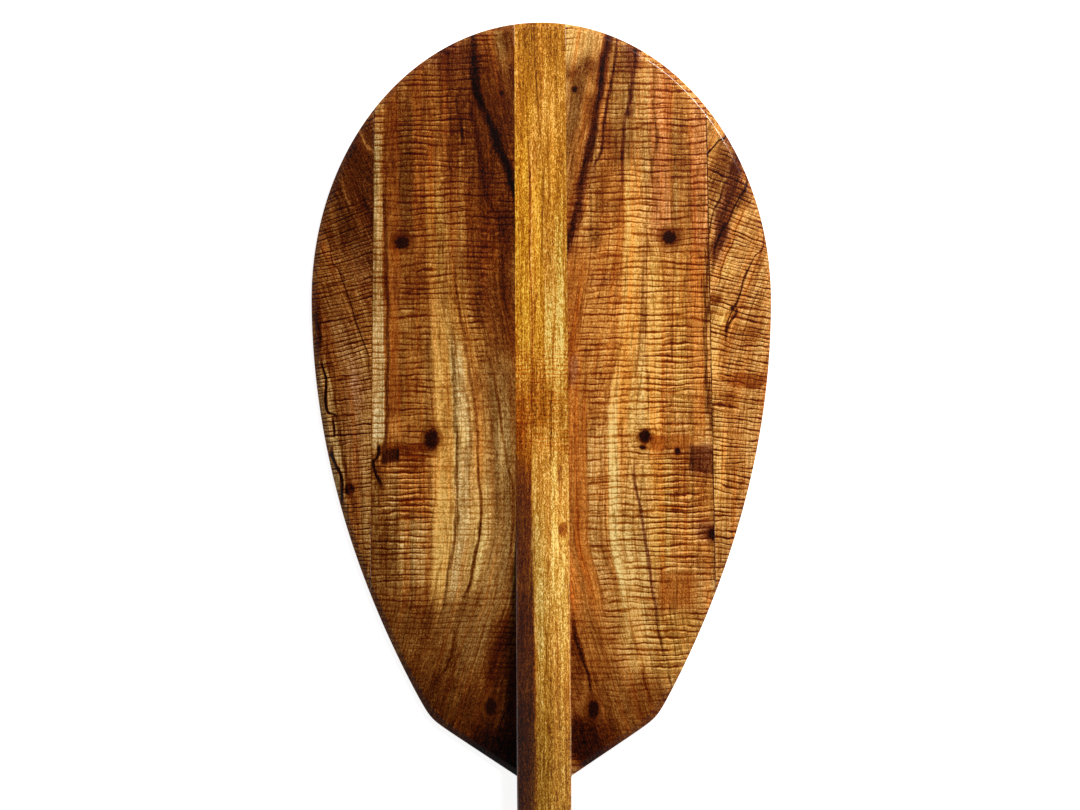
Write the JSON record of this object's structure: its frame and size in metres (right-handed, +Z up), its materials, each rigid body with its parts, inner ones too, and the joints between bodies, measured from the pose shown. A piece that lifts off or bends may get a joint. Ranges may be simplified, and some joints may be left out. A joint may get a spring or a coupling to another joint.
{
  "type": "outrigger canoe paddle",
  "caption": "Laminated wooden outrigger canoe paddle with a broad teardrop blade, a raised spine, an oval shaft and a T grip.",
  "frame": {"origin": "bottom centre of the bounding box: on the surface that the flat back lies on, midway between tip and grip", "axes": "+Y from the grip to the blade's tip, +X across the blade, +Z up out of the blade's face, which carries the spine"},
  "size_m": [0.28, 1.32, 0.029],
  "materials": {
    "koa_stave": "golden straight-grained koa under clear gloss varnish",
    "koa_inner_panel": "curly bookmatched koa with dark streaks and knots under clear gloss varnish",
    "koa_outer_panel": "reddish curly koa under clear gloss varnish",
    "koa_grip": "dark koa under clear gloss varnish, rubbed a little by the hand",
    "spline_wood": "bare pale hardwood"
  },
  "bodies": {
    "root": {"shaft_stave": "koa_stave", "inner_panel_left": "koa_inner_panel", "inner_panel_right": "koa_inner_panel", "outer_panel_left": "koa_outer_panel", "outer_panel_right": "koa_outer_panel", "inner_spline_left": "spline_wood", "inner_spline_right": "spline_wood", "outer_spline_left": "spline_wood", "outer_spline_right": "spline_wood", "grip_crossbar": "koa_grip", "grip_peg": "spline_wood"}
  },
  "joints": []
}
